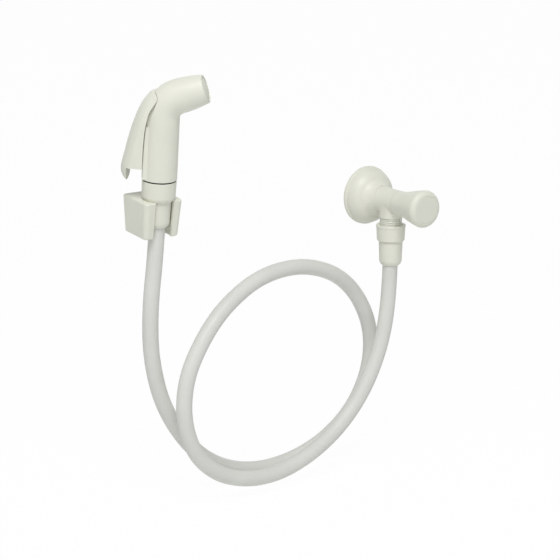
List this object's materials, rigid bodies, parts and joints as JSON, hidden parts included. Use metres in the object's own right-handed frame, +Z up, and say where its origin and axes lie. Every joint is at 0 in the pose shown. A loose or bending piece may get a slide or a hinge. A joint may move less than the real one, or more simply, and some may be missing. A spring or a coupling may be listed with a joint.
{
  "type": "handheld bidet shower",
  "caption": "Plastic handheld bidet shower: wall valve with a turning knob, smooth looped hose, angled spray handset with a thumb lever, and a forked wall holder.",
  "frame": {"origin": "middle of the valve's inlet in the plane of the wall, where its thread leaves the room", "axes": "+Z up, +Y into the wall along the inlet, +X to the right as seen from the room"},
  "size_m": [0.3043, 0.099, 0.3819],
  "materials": {
    "ivory_plastic": "satin moulded ABS, pale ivory with a faint green cast",
    "white_plastic": "plain acetal",
    "hose_plastic": "smooth soft PVC, slightly greyer than the mouldings",
    "black_rubber": "black nitrile rubber",
    "brass": "turned brass",
    "ceramic": "lapped alumina ceramic",
    "steel": "stainless steel"
  },
  "bodies": {
    "set": {"valve_body": "ivory_plastic", "wall_flange": "ivory_plastic", "spout_nut": "ivory_plastic", "spout_sleeve": "ivory_plastic", "handset_nut": "ivory_plastic", "handset_sleeve": "ivory_plastic", "handset_body": "ivory_plastic", "wall_holder": "ivory_plastic", "spray_plate": "ivory_plastic", "cartridge_housing": "white_plastic", "plunger_gland": "white_plastic", "hose": "hose_plastic", "joint_ring": "black_rubber", "disc_seal": "black_rubber", "spout_washer": "black_rubber", "handset_washer": "black_rubber", "spray_seal": "black_rubber", "spout_tail": "brass", "handset_tail": "brass", "fixed_disc": "ceramic", "trigger_pin": "steel", "return_spring": "steel"},
    "knob": {"knob": "ivory_plastic", "knob_cap": "ivory_plastic", "knob_screw": "steel", "spindle": "brass", "turning_disc": "ceramic", "spindle_ring": "black_rubber"},
    "trigger": {"trigger": "ivory_plastic"},
    "plunger": {"plunger": "white_plastic", "plunger_seat": "black_rubber", "plunger_ring": "black_rubber"}
  },
  "joints": [
    {"name": "knob_turn", "type": "hinge", "parent": "set", "child": "knob", "pos_m": [0, -0.05, 0], "axis": [0, -1, 0], "range_deg": [0, 90]},
    {"name": "trigger_press", "type": "hinge", "parent": "set", "child": "trigger", "pos_m": [-0.25474, -0.02888, 0.11939], "axis": [-0.6691, -0.7391, -0.0777], "range_deg": [0, 4.2], "stiffness_Nm_per_rad": 2, "springref_deg": -2.86},
    {"name": "plunger_slide", "type": "slide", "parent": "set", "child": "plunger", "axis": [0.7431, -0.6655, -0.0699], "range_m": [0, 0.0031], "deforming": ["return_spring"]}
  ],
  "couplings": [
    {"joint": "plunger_slide", "follows": "trigger_press", "m_per_rad": 0.0412}
  ]
}
